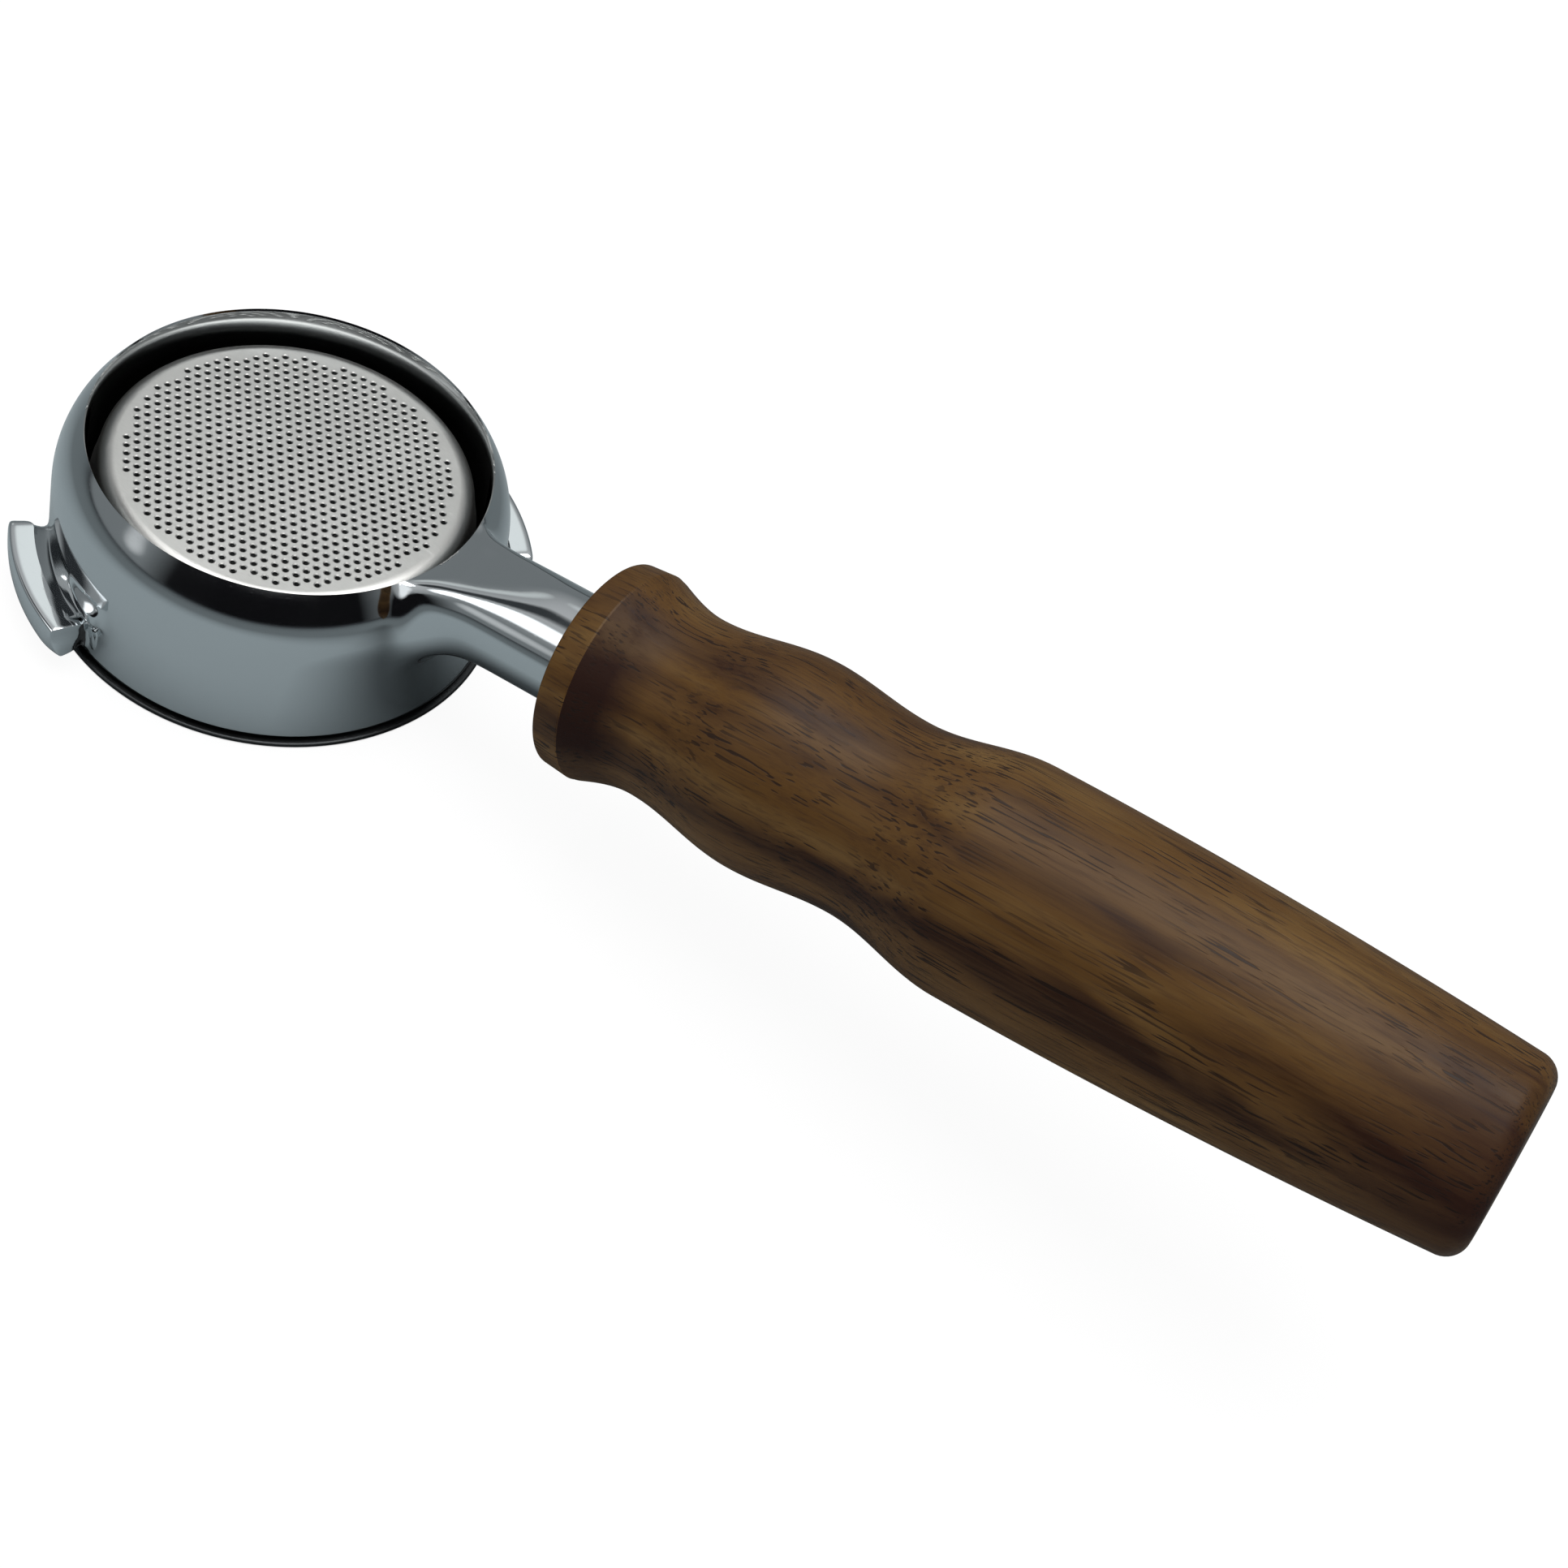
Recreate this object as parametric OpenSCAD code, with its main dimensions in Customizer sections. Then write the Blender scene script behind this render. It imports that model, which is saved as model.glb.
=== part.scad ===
// Bottomless portafilter, lying upside down on the flange of its filter basket.
// Origin: on the ring's axis, at the surface it stands on. +Z is up, and the
// handle leaves the ring along +X and rises as it goes. Millimetres.

/* [Holder ring] */
// Radius of the bore that takes the filter basket
bore_r = 30.2; // [30:0.1:31]
// Outer radius of the ring
ring_r = 34.5; // [33.8:0.1:35]
// Height of the open rim above the surface it stands on
rim_z = 28.6; // [27.5:0.1:30]
// Height at which the outer wall starts to curve in towards the rim
shoulder_z = 17.7; // [17:0.1:18.5]
// Height of the ring's lower outer edge
ring_edge_z = 1.7; // [1.4:0.1:2.2]
// Radius of the land that sits on the basket's flange
land_r = 33; // [32.6:0.1:33.4]

/* [Ears] */
// Outer radius of the two bayonet ears
ear_r = 40.4; // [39.5:0.1:41.5]
// Height of the ears' lower faces
ear_low_z = 3.4; // [3:0.1:4]
// Height of the ears' locking faces
ear_top_z = 8.5; // [8:0.1:9]
// Length of each ear round the ring, in degrees
ear_arc = 36; // [30:1:40]
// Direction of the first ear's middle, in degrees from the handle
ear_turn = 61.2; // [58:0.2:66]

/* [Neck] */
// Rise of the handle's axis away from the ring, in degrees
tilt = 10; // [8:0.5:12]
// Height at which the handle's axis crosses the ring's axis
axis_z = 18.6; // [18:0.1:19.5]
// Radius of the round part of the neck
neck_r = 8.7; // [8.2:0.1:9]
// Half the width of the flat top where the neck leaves the ring
flat_half_w = 8.4; // [8:0.1:9]

/* [Filter basket] */
// Radius of the basket's flange
flange_r = 35.3; // [35:0.1:35.8]
// Thickness of the flange
flange_t = 0.8; // [0.6:0.1:1]
// Inner radius of the straight part of the basket, which guides a tamper
cup_r = 29.25; // [29:0.05:29.4]
// Height of the outside of the perforated floor
floor_z = 24.3; // [23.5:0.1:25]
// Thickness of the basket's sheet
sheet_t = 0.5; // [0.4:0.05:0.6]
// Outer radius of the basket where its floor rounding begins
floor_r = 28.4; // [28:0.1:28.8]
// Distance between the centres of neighbouring holes
hole_pitch = 1.735; // [1.7:0.005:1.8]
// Radius of the punched holes
hole_r = 0.42; // [0.3:0.01:0.45]
// Radius of the field that the holes fill
field_r = 24.5; // [23:0.1:24.6]

/* [Handle] */
// Distance from the ring's axis to the front of the grip, along the handle
grip_start = 59.8; // [58:0.1:62]
// Length of the grip
grip_len = 143; // [135:1:150]
// Largest radius of the grip
belly_r = 17.7; // [17:0.1:18.5]

/* [Fasteners] */
// Radius of the stud between the neck and the grip
stud_r = 4.95; // [4.9:0.01:4.98]
// Length of the stud
stud_len = 44; // [40:1:45]
// Outer radius of the brass insert
insert_r = 7; // [6.5:0.1:7.5]
// Length of the brass insert
insert_len = 28; // [24:1:30]

/* [Hidden] */
$fn = 96;
// How far a cut or a joined piece runs past the face it starts from
overlap = 0.5;
// Step that keeps a blended surface just under the round one it runs into
weld = 0.1;

// Ring
// Bevel at the rim's inner edge
bevel_w = 0.2;
bevel_h = 0.4;
// One arc that leaves the wall upright and ends at the bevel
shoulder_h = rim_z - shoulder_z;
shoulder_w = ring_r - bore_r - bevel_w;
shoulder_r = (shoulder_h * shoulder_h + shoulder_w * shoulder_w) / (2 * shoulder_w);
shoulder_end = asin(shoulder_h / shoulder_r);
groove_z = 9;
groove_r = 31.4;
groove_half = 0.9;

// Ears: a raised band outside, and a groove between the band and the ring
band_w = 3.8;
ear_groove_d = 2;
end_wall_deg = 4;
stop_arc = 8;
stop_out = 1.3;
stop_top_z = 13;
stop_foot_z = ear_low_z + 1;

// Along the handle's axis
neck_start = 27;
neck_round = 50;
neck_in_grip = 6.2;
neck_end = grip_start + neck_in_grip;
washer_t = 1.9;
socket_gap = 0.3;
socket_r = neck_r + socket_gap;
socket_end = neck_end + washer_t;
stud_hole_r = 5;
stud_hole_d = 17;
stud_start = neck_end - stud_hole_d + 1;
seal_wire_r = 0.9;
seal_r = 8.05;
seal_at = grip_start + 3.2;
flat_rise = 5.4;

// Grip stations, measured from its front face
collar_front_r = 16.2;
collar_r = 16.5;
collar_len = 4.5;
cove_at = 14;
cove_r = 14.1;
swell_at = 32;
swell_r = 16.4;
waist_at = 48.5;
waist_r = 14.9;
belly_at = 67;
tail_r = 14.5;
tail_round = 3.5;
tail_at = grip_len - tail_round;
tail_power = 1.85;
edge_round = 0.4;
profile_steps = 10;

// Basket
corner_r = 2.6;
plate_r = floor_r - corner_r;
field_turn = 44;
straight_top_z = 15;
spring_wire_r = 0.6;
spring_r = 30.7;
spring_gap_deg = 28;

steel = "silver";
chrome = "lightsteelblue";
walnut = "saddlebrown";
brass = "goldenrod";

// Points of an arc in the plane, from angle a0 to a1
function arc(cx, cy, r, a0, a1, n = 12) =
    [for (i = [0 : n]) let (a = a0 + (a1 - a0) * i / n) [cx + r * cos(a), cy + r * sin(a)]];

// A smooth S-shaped stretch of the grip's outline between two stations
function wave(s0, r0, s1, r1) =
    [for (i = [1 : profile_steps]) let (t = i / profile_steps)
        [r0 + (r1 - r0) * (1 - cos(180 * t)) / 2, s0 + (s1 - s0) * t]];

// Places its children on the handle's axis, at a distance s from the ring's axis
module on_handle(s) {
    translate([0, 0, axis_z])
        rotate([0, 90 - tilt, 0])
            translate([0, 0, s])
                children();
}

// A piece of a ring profile that runs round the Z axis from angle a0 for arc_deg
module sector(a0, arc_deg) {
    rotate([0, 0, a0])
        rotate_extrude(angle = arc_deg)
            children();
}

module ring_profile() {
    polygon(concat(
        [[bore_r, flange_t], [land_r, flange_t], [land_r, ring_edge_z], [ring_r, ring_edge_z]],
        arc(ring_r - shoulder_r, shoulder_z, shoulder_r, 0, shoulder_end),
        [[bore_r, rim_z - bevel_h]]));
}

// Section of an ear: a plate with a raised band along its outer edge
module ear_profile() {
    inner_r = ring_r - overlap;
    band_r = ear_r - band_w;
    groove_floor_z = ear_top_z - ear_groove_d;
    polygon([[inner_r, ear_low_z], [ear_r, ear_low_z], [ear_r, ear_top_z],
             [band_r, ear_top_z], [band_r, groove_floor_z], [inner_r, groove_floor_z]]);
}

// One ear, its groove closed by a wall at one end, with a stop rib on the ring.
// The wall and the rib stay just inside the ear's faces, so no faces coincide.
module ear() {
    half = ear_arc / 2;
    inner_r = ring_r - overlap;
    sector(-half, ear_arc)
        ear_profile();
    sector(half - end_wall_deg - 1, end_wall_deg)
        translate([inner_r, ear_low_z + weld])
            square([ear_r - 2 * weld - inner_r, ear_top_z - ear_low_z - 2 * weld]);
    sector(half - stop_arc / 2, stop_arc)
        translate([inner_r, stop_foot_z])
            square([stop_out + overlap, stop_top_z - stop_foot_z]);
}

// Outline of the neck where it leaves the ring: half round below, flat above.
// On the handle's axis, -X is up.
module neck_root_outline() {
    polygon(concat([[-flat_rise, -flat_half_w]], arc(0, 0, neck_r, -90, 90, 16), [[-flat_rise, flat_half_w]]));
}

// Neck: flat on top where it leaves the ring, round where it meets the grip
module neck() {
    hull() {
        on_handle(neck_start)
            linear_extrude(1)
                neck_root_outline();
        on_handle(neck_round)
            cylinder(r = neck_r - weld, h = 1, $fn = 32);
    }
    on_handle(neck_round)
        cylinder(r = neck_r, h = neck_end - neck_round);
}

module holder_body() {
    color(chrome)
    difference() {
        union() {
            difference() {
                neck();
                translate([0, 0, -overlap])
                    cylinder(r = bore_r, h = 3 * rim_z);
            }
            rotate_extrude()
                ring_profile();
            for (turn = [ear_turn, ear_turn + 180])
                rotate([0, 0, turn])
                    ear();
        }
        // Groove for the retaining spring
        rotate_extrude()
            translate([bore_r - overlap, groove_z - groove_half])
                square([groove_r - bore_r + overlap, 2 * groove_half]);
        // Blind hole for the stud
        on_handle(neck_end - stud_hole_d)
            cylinder(r = stud_hole_r, h = stud_hole_d + overlap);
        // Groove for the seal
        on_handle(seal_at)
            rotate_extrude()
                translate([seal_r - seal_wire_r, -seal_wire_r - 0.1])
                    square([neck_r, 2 * seal_wire_r + 0.2]);
    }
}

// Wall, flange and rounded corner; the flat floor inside the corner is a plate
module basket_wall_profile() {
    outer_r = cup_r + sheet_t;
    corner_z = floor_z - corner_r;
    polygon(concat(
        arc(plate_r, corner_z, corner_r - sheet_t, 90, 0),
        [[cup_r, straight_top_z], [cup_r, 0], [flange_r - flange_t / 2, 0]],
        arc(flange_r - flange_t / 2, flange_t / 2, flange_t / 2, -90, 90),
        [[outer_r, flange_t], [outer_r, straight_top_z]],
        arc(plate_r, corner_z, corner_r, 0, 90)));
}

// Hexagonal field of punched holes, a hole at its centre
module hole_field() {
    row_step = hole_pitch * sqrt(3) / 2;
    rows = ceil(field_r / row_step);
    for (i = [-rows : rows], j = [-rows : rows]) {
        x = i * row_step;
        y = (j + (i % 2 == 0 ? 0 : 0.5)) * hole_pitch;
        if (norm([x, y]) < field_r)
            translate([x, y])
                circle(r = hole_r, $fn = 16);
    }
}

module filter_basket() {
    color(steel) {
        rotate_extrude()
            basket_wall_profile();
        translate([0, 0, floor_z - sheet_t])
            linear_extrude(sheet_t)
                difference() {
                    circle(r = plate_r);
                    rotate(field_turn)
                        hole_field();
                }
    }
}

module retaining_spring() {
    color(steel)
        translate([0, 0, groove_z])
            sector(ear_turn, 360 - spring_gap_deg)
                translate([spring_r, 0])
                    circle(r = spring_wire_r, $fn = 24);
}

module grip_profile() {
    tail = [for (i = [1 : 2 * profile_steps]) let (t = i / (2 * profile_steps))
        [belly_r - (belly_r - tail_r) * pow(t, tail_power), belly_at + (tail_at - belly_at) * t]];
    cove = [for (i = [1 : profile_steps]) let (t = i / profile_steps)
        [collar_r - (collar_r - cove_r) * sin(90 * t), collar_len + (cove_at - collar_len) * t]];
    polygon(concat(
        [[0, 0], [collar_front_r - edge_round, 0], [collar_front_r, edge_round], [collar_r, collar_len]],
        cove,
        wave(cove_at, cove_r, swell_at, swell_r),
        wave(swell_at, swell_r, waist_at, waist_r),
        wave(waist_at, waist_r, belly_at, belly_r),
        tail,
        arc(tail_r - tail_round, tail_at, tail_round, 0, 90, 8),
        [[0, grip_len]]));
}

module handle_grip() {
    color(walnut)
    difference() {
        on_handle(grip_start)
            rotate_extrude()
                grip_profile();
        on_handle(grip_start - overlap)
            cylinder(r = socket_r, h = socket_end - grip_start + overlap);
        on_handle(socket_end - overlap)
            cylinder(r = insert_r, h = insert_len + overlap);
    }
}

module handle_stud() {
    tip = 1;
    color(steel)
        on_handle(stud_start) {
            cylinder(r1 = stud_r - tip, r2 = stud_r, h = tip);
            translate([0, 0, tip])
                cylinder(r = stud_r, h = stud_len - 2 * tip);
            translate([0, 0, stud_len - tip])
                cylinder(r1 = stud_r, r2 = stud_r - tip, h = tip);
        }
}

module threaded_insert() {
    barb_d = 0.5;
    barbs = 5;
    color(brass)
    difference() {
        on_handle(socket_end)
            cylinder(r = insert_r, h = insert_len);
        on_handle(socket_end - overlap)
            cylinder(r = stud_hole_r, h = insert_len + 2 * overlap);
        for (i = [1 : barbs])
            on_handle(socket_end + i * insert_len / (barbs + 1))
                rotate_extrude()
                    translate([insert_r - barb_d, -barb_d])
                        square([insert_r, 2 * barb_d]);
    }
}

module lock_washer() {
    outer_r = 8.2;
    inner_r = 5.2;
    split = 1.2;
    color(steel)
        on_handle(neck_end)
            difference() {
                cylinder(r = outer_r, h = washer_t);
                translate([0, 0, -overlap])
                    cylinder(r = inner_r, h = washer_t + 2 * overlap);
                translate([0, -split / 2, -overlap])
                    cube([2 * outer_r, split, washer_t + 2 * overlap]);
            }
}

module seal_ring() {
    color("dimgray")
        on_handle(seal_at)
            rotate_extrude()
                translate([seal_r, 0])
                    circle(r = seal_wire_r, $fn = 24);
}

holder_body();
filter_basket();
retaining_spring();
handle_grip();
handle_stud();
threaded_insert();
lock_washer();
seal_ring();
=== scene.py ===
# %% [markdown]
# A bottomless portafilter, lying upside down on the flange of its basket.
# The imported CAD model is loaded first, as a fixed frame: it says where every piece is, and the
# new meshes are built around it. Measures below are written in millimetres and turned to metres
# by MM, because a machined part is drawn in millimetres and Blender works in metres.
# %% Load the frame
import math

import bmesh
import bpy
from mathutils import Euler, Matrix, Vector


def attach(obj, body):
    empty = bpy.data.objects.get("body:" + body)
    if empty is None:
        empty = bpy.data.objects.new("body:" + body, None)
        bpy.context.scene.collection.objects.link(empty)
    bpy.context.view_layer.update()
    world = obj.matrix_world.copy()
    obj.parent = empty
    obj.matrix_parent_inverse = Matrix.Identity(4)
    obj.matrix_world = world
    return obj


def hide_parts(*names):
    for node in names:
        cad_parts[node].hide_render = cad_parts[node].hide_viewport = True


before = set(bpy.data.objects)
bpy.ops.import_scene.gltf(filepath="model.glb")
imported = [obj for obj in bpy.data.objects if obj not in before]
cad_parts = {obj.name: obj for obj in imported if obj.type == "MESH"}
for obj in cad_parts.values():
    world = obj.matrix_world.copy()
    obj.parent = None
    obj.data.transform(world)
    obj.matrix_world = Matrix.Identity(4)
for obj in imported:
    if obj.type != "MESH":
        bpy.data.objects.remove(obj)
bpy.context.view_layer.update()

MM = 0.001
print("nodes:", sorted(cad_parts))

# %% [markdown]
# The camera comes first. A 56.5 mm lens on a square 36 mm sensor stands a little over 40 cm
# away, in front and to the right, and looks down at about 47 degrees with a strong roll.
# %% Camera
camera_data = bpy.data.cameras.new("camera")
camera_data.lens = 56.53
camera_data.sensor_width = 36.0
camera = bpy.data.objects.new("camera", camera_data)
bpy.context.scene.collection.objects.link(camera)
camera.location = (0.16270, -0.22347, 0.28876)
camera.rotation_euler = Euler([math.radians(a) for a in (40.070, -15.013, 34.762)], "XYZ")
bpy.context.scene.camera = camera

# %% [markdown]
# Small helpers stand in for the hands of a modeller. pick() selects by place: it takes the
# vertices, edges or faces whose every corner passes a test, given in millimetres. reach() is
# the distance from the ring's axis and turn() the direction round it, from the handle.
# %% Helpers for selecting and shaping
TOUCH = 0.05


def reach(p):
    return math.hypot(p.x, p.y)


def turn(p):
    return math.degrees(math.atan2(p.y, p.x)) % 360


def near(value, target, slack=TOUCH):
    return abs(value - target) < slack


def pick(kind, test, boundary=False):
    """Selects the parts of one kind whose corners all pass the test. Returns how many."""
    bpy.ops.mesh.select_mode(type=kind)
    bpy.ops.mesh.select_all(action="DESELECT")
    mesh = bpy.context.object.data
    cage = bmesh.from_edit_mesh(mesh)
    parts = {"VERT": cage.verts, "EDGE": cage.edges, "FACE": cage.faces}[kind]
    count = 0
    for part in parts:
        corners = [part] if kind == "VERT" else part.verts
        if boundary and not part.is_boundary:
            continue
        if all(test(corner.co / MM) for corner in corners):
            part.select_set(True)
            count += 1
    cage.select_flush_mode()
    bmesh.update_edit_mesh(mesh)
    return count


def edit():
    bpy.ops.object.mode_set(mode="EDIT")


def leave_edit():
    bpy.ops.object.mode_set(mode="OBJECT")


def merge(distance=0.01):
    bpy.ops.mesh.select_mode(type="VERT")
    bpy.ops.mesh.select_all(action="SELECT")
    bpy.ops.mesh.remove_doubles(threshold=distance * MM)


def face_outwards():
    bpy.ops.mesh.select_all(action="SELECT")
    bpy.ops.mesh.normals_make_consistent(inside=False)


def new_circle(name, count, radius, height, start_turn=0.0):
    """A circle of edges round the Z axis, in a new object that is left in edit mode."""
    bpy.ops.object.select_all(action="DESELECT")
    bpy.ops.mesh.primitive_circle_add(vertices=count, radius=radius * MM, location=(0, 0, height * MM))
    piece = bpy.context.object
    piece.name = name
    piece.rotation_euler.z = math.radians(start_turn)
    bpy.ops.object.transform_apply(location=True, rotation=True, scale=True)
    edit()
    bpy.ops.mesh.select_all(action="SELECT")
    return piece


def add_rows(rows):
    """Extrudes the selected ring of edges from row to row. A row is (radius, height)."""
    for (old_r, old_z), (new_r, new_z) in zip(rows, rows[1:]):
        lift = (0, 0, (new_z - old_z) * MM)
        bpy.ops.mesh.extrude_edges_move(TRANSFORM_OT_translate={"value": lift})
        if new_r != old_r:
            bpy.ops.transform.resize(value=(new_r / old_r, new_r / old_r, 1), center_override=(0, 0, 0))


def turned_piece(name, rows, count):
    """A lathe-turned shell: a circle, extruded along the rows of its outline."""
    piece = new_circle(name, count, *rows[0])
    add_rows(rows)
    return piece


def arc_rows(centre_r, centre_z, radius, start, end, steps):
    """Rows along an arc, from angle start to end, without the first."""
    angles = [math.radians(start + (end - start) * i / steps) for i in range(1, steps + 1)]
    return [(centre_r + radius * math.cos(a), centre_z + radius * math.sin(a)) for a in angles]


def apply_modifier(piece, kind, **settings):
    bpy.ops.object.select_all(action="DESELECT")
    piece.select_set(True)
    bpy.context.view_layer.objects.active = piece
    modifier = piece.modifiers.new(kind.title(), kind)
    for key, value in settings.items():
        setattr(modifier, key, value)
    bpy.ops.object.modifier_apply(modifier=modifier.name)


def smooth_shading(piece, angle=35):
    bpy.ops.object.select_all(action="DESELECT")
    piece.select_set(True)
    bpy.context.view_layer.objects.active = piece
    bpy.ops.object.shade_smooth_by_angle(angle=math.radians(angle))


def join(pieces, name):
    """Joins the pieces into the first one and leaves it in edit mode."""
    bpy.ops.object.select_all(action="DESELECT")
    for piece in pieces:
        piece.select_set(True)
    bpy.context.view_layer.objects.active = pieces[0]
    bpy.ops.object.join()
    pieces[0].name = name
    edit()
    return pieces[0]


def report(piece):
    triangles = sum(len(face.vertices) - 2 for face in piece.data.polygons)
    print(f"{piece.name}: {len(piece.data.vertices)} vertices, {triangles} triangles")


# %% [markdown]
# The handle's axis leaves the ring's axis at a set height and rises by ten degrees. Neck and grip
# are built upright round Z, where circles are easy, and laid along that axis at the end.
# %% The handle's axis
TILT = 10.0
AXIS_Z = 18.6


def lay_on_handle(piece):
    """Turns an upright piece so that its Z runs along the handle, then puts its place in its mesh."""
    piece.rotation_euler = (0, math.radians(90 - TILT), 0)
    piece.location = (0, 0, AXIS_Z * MM)
    bpy.ops.object.select_all(action="DESELECT")
    piece.select_set(True)
    bpy.context.view_layer.objects.active = piece
    bpy.ops.object.transform_apply(location=True, rotation=True, scale=True)


# %% [markdown]
# The holder is one forged and chromed piece: a ring, two bayonet ears and a neck. Its charm is that
# the neck grows out of the ring without a line, so it is drawn as one coarse cage and rounded by
# subdivision. A boolean union would need its fillets cut by hand and would show dents in chrome.
# A subdivided circle shrinks a little, so the cage is drawn larger by a known factor.
# %% Ring: turned outline of the cage
COLUMNS = 100
STEP = 360 / COLUMNS
SWELL = 6 / (4 + 2 * math.cos(math.radians(STEP)))

BORE_R = 30.2
RING_R = 34.5
RIM_Z = 28.6
BEVEL_W = 0.2
BEVEL_H = 0.4
EDGE_Z = 1.7
SHOULDER_Z = 17.7
LAND_R = 33.0
LAND_Z = 0.8
GROOVE_R = 31.4
GROOVE_LOW = 8.1
GROOVE_HIGH = 9.9
EAR_LOW = 3.4
EAR_FLOOR = 6.5
EAR_TOP = 8.5
STOP_LOW = 8.8
STOP_TOP = 13.0
STOP_MID = 11.0
BORE_MID = 20.0
SHOULDER_HOLD = 0.6
NECK_LOW = 15.8

shoulder_h = RIM_Z - SHOULDER_Z
shoulder_w = RING_R - BORE_R - BEVEL_W
shoulder_r = (shoulder_h ** 2 + shoulder_w ** 2) / (2 * shoulder_w)
shoulder_end = math.degrees(math.asin(shoulder_h / shoulder_r))

wall_heights = (EDGE_Z, EAR_LOW, EAR_FLOOR, EAR_TOP, STOP_LOW, STOP_MID, STOP_TOP, NECK_LOW)
wall_rows = [(RING_R, z) for z in wall_heights]
shoulder_rows = [(RING_R, SHOULDER_Z + SHOULDER_HOLD)] + arc_rows(
    RING_R - shoulder_r, SHOULDER_Z, shoulder_r, 0, shoulder_end, 4)
bore_rows = [(BORE_R, RIM_Z - BEVEL_H), (BORE_R, BORE_MID), (BORE_R, GROOVE_HIGH), (GROOVE_R, GROOVE_HIGH),
             (GROOVE_R, GROOVE_LOW), (BORE_R, GROOVE_LOW), (BORE_R, LAND_Z), (LAND_R, LAND_Z),
             (LAND_R, EDGE_Z), (RING_R, EDGE_Z)]
ring_rows = [(r * SWELL, z) for r, z in wall_rows + shoulder_rows + bore_rows]
holder = turned_piece("chromed_holder", ring_rows, COLUMNS)
merge()
print("cage of the ring:", len(ring_rows), "rows of", COLUMNS)

# %% [markdown]
# Ears are drawn out of the wall itself: faces are extruded and scaled away from the axis, then the
# outer strip is raised as a band. What stays low between the band and the wall is the groove, and
# its last column is raised too, as the wall that closes it. A span is given in degrees from the
# handle, on whole columns of the cage, and a point counts as in it within ANGLE_SLACK.
# %% Ears
EAR_SPANS = [(43.2, 79.2), (223.2, 259.2)]
BAND_R = 36.6
EAR_ROUND_R = 39.4
EAR_R = 40.4
EAR_DRAFT = 1.0
ANGLE_SLACK = 0.5


def between(angle, low, high):
    return low - ANGLE_SLACK < angle < high + ANGLE_SLACK


def in_ear(p):
    return any(between(turn(p), low, high) for low, high in EAR_SPANS)


def in_end_wall(p):
    return any(between(turn(p), high - STEP, high) for low, high in EAR_SPANS)


def is_reach(p, radius, slack=TOUCH):
    return near(reach(p), radius * SWELL, slack)


def grow_to(radius, old_radius):
    """Extrudes the selected faces straight away from the ring's axis."""
    bpy.ops.mesh.extrude_region_move()
    scale = radius / old_radius
    bpy.ops.transform.resize(value=(scale, scale, 1), center_override=(0, 0, 0))


def on_wall(p, low, high):
    """True on the outer wall between two heights, both counted in."""
    return is_reach(p, RING_R) and low - TOUCH < p.z < high + TOUCH


picked = pick("FACE", lambda p: on_wall(p, EAR_LOW, EAR_FLOOR) and in_ear(p))
for old_radius, radius in ((RING_R, BAND_R), (BAND_R, EAR_ROUND_R), (EAR_ROUND_R, EAR_R)):
    grow_to(radius, old_radius)
pick("VERT", lambda p: is_reach(p, RING_R) and near(p.z, EAR_LOW) and in_ear(p))
bpy.ops.transform.translate(value=(0, 0, -EAR_DRAFT * MM))
print("ear faces:", picked)


def raised(p):
    outer = reach(p) > BAND_R * SWELL - TOUCH
    closing = in_end_wall(p) and reach(p) > RING_R * SWELL - TOUCH
    return near(p.z, EAR_FLOOR) and in_ear(p) and (outer or closing)


pick("FACE", raised)
bpy.ops.mesh.extrude_region_move(TRANSFORM_OT_translate={"value": (0, 0, (EAR_TOP - EAR_FLOOR) * MM)})
pick("FACE", lambda p: on_wall(p, EAR_FLOOR, EAR_TOP) and in_end_wall(p))
bpy.ops.mesh.delete(type="FACE")
merge()

# %% [markdown]
# A short stop rib stands on the wall above each ear's closed end, with a thin leg below it. Its top
# slants outwards and its underside is cut back. The rib grows from nothing to its full height, so
# its far corners are pulled back towards the wall after the extrusion, each to its share of the
# whole. The leg is a column of faces inset, drawn out and tapered to its foot.
# %% Stop ribs and their legs
STOP_OUT = 1.3
STOP_SLANT = 1.15
STOP_UNDER = 0.9
STOP_RISE = (0.25, 0.55, 0.85)
LEG_OUT = 0.7
LEG_INSET = 0.45
LEG_FOOT_OUT = 0.05
LEG_LIFT = 0.65
STOP_SPANS = [(high - 3 * STEP, high + STEP) for low, high in EAR_SPANS]


def in_stop(p):
    return any(between(turn(p), low, high) for low, high in STOP_SPANS)


def in_column(p, spans, column):
    """True on one line of points across a span, counted from its low end."""
    return any(near(turn(p), low + column * STEP, ANGLE_SLACK) for low, high in spans)


def in_leg(p):
    return any(between(turn(p), high - STEP, high) for low, high in STOP_SPANS)


pick("FACE", lambda p: on_wall(p, STOP_LOW, STOP_TOP) and in_stop(p))
grow_to(RING_R + STOP_OUT, RING_R)
pick("VERT", lambda p: is_reach(p, RING_R + STOP_OUT) and near(p.z, STOP_TOP) and in_stop(p))
bpy.ops.transform.translate(value=(0, 0, -STOP_SLANT * MM))
pick("VERT", lambda p: is_reach(p, RING_R + STOP_OUT) and near(p.z, STOP_LOW) and in_stop(p))
bpy.ops.transform.translate(value=(0, 0, STOP_UNDER * MM))
for column, share in enumerate(STOP_RISE):
    pick("VERT", lambda p: is_reach(p, RING_R + STOP_OUT) and in_column(p, STOP_SPANS, column))
    scale = (RING_R + STOP_OUT * share) / (RING_R + STOP_OUT)
    bpy.ops.transform.resize(value=(scale, scale, 1), center_override=(0, 0, 0))

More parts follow.
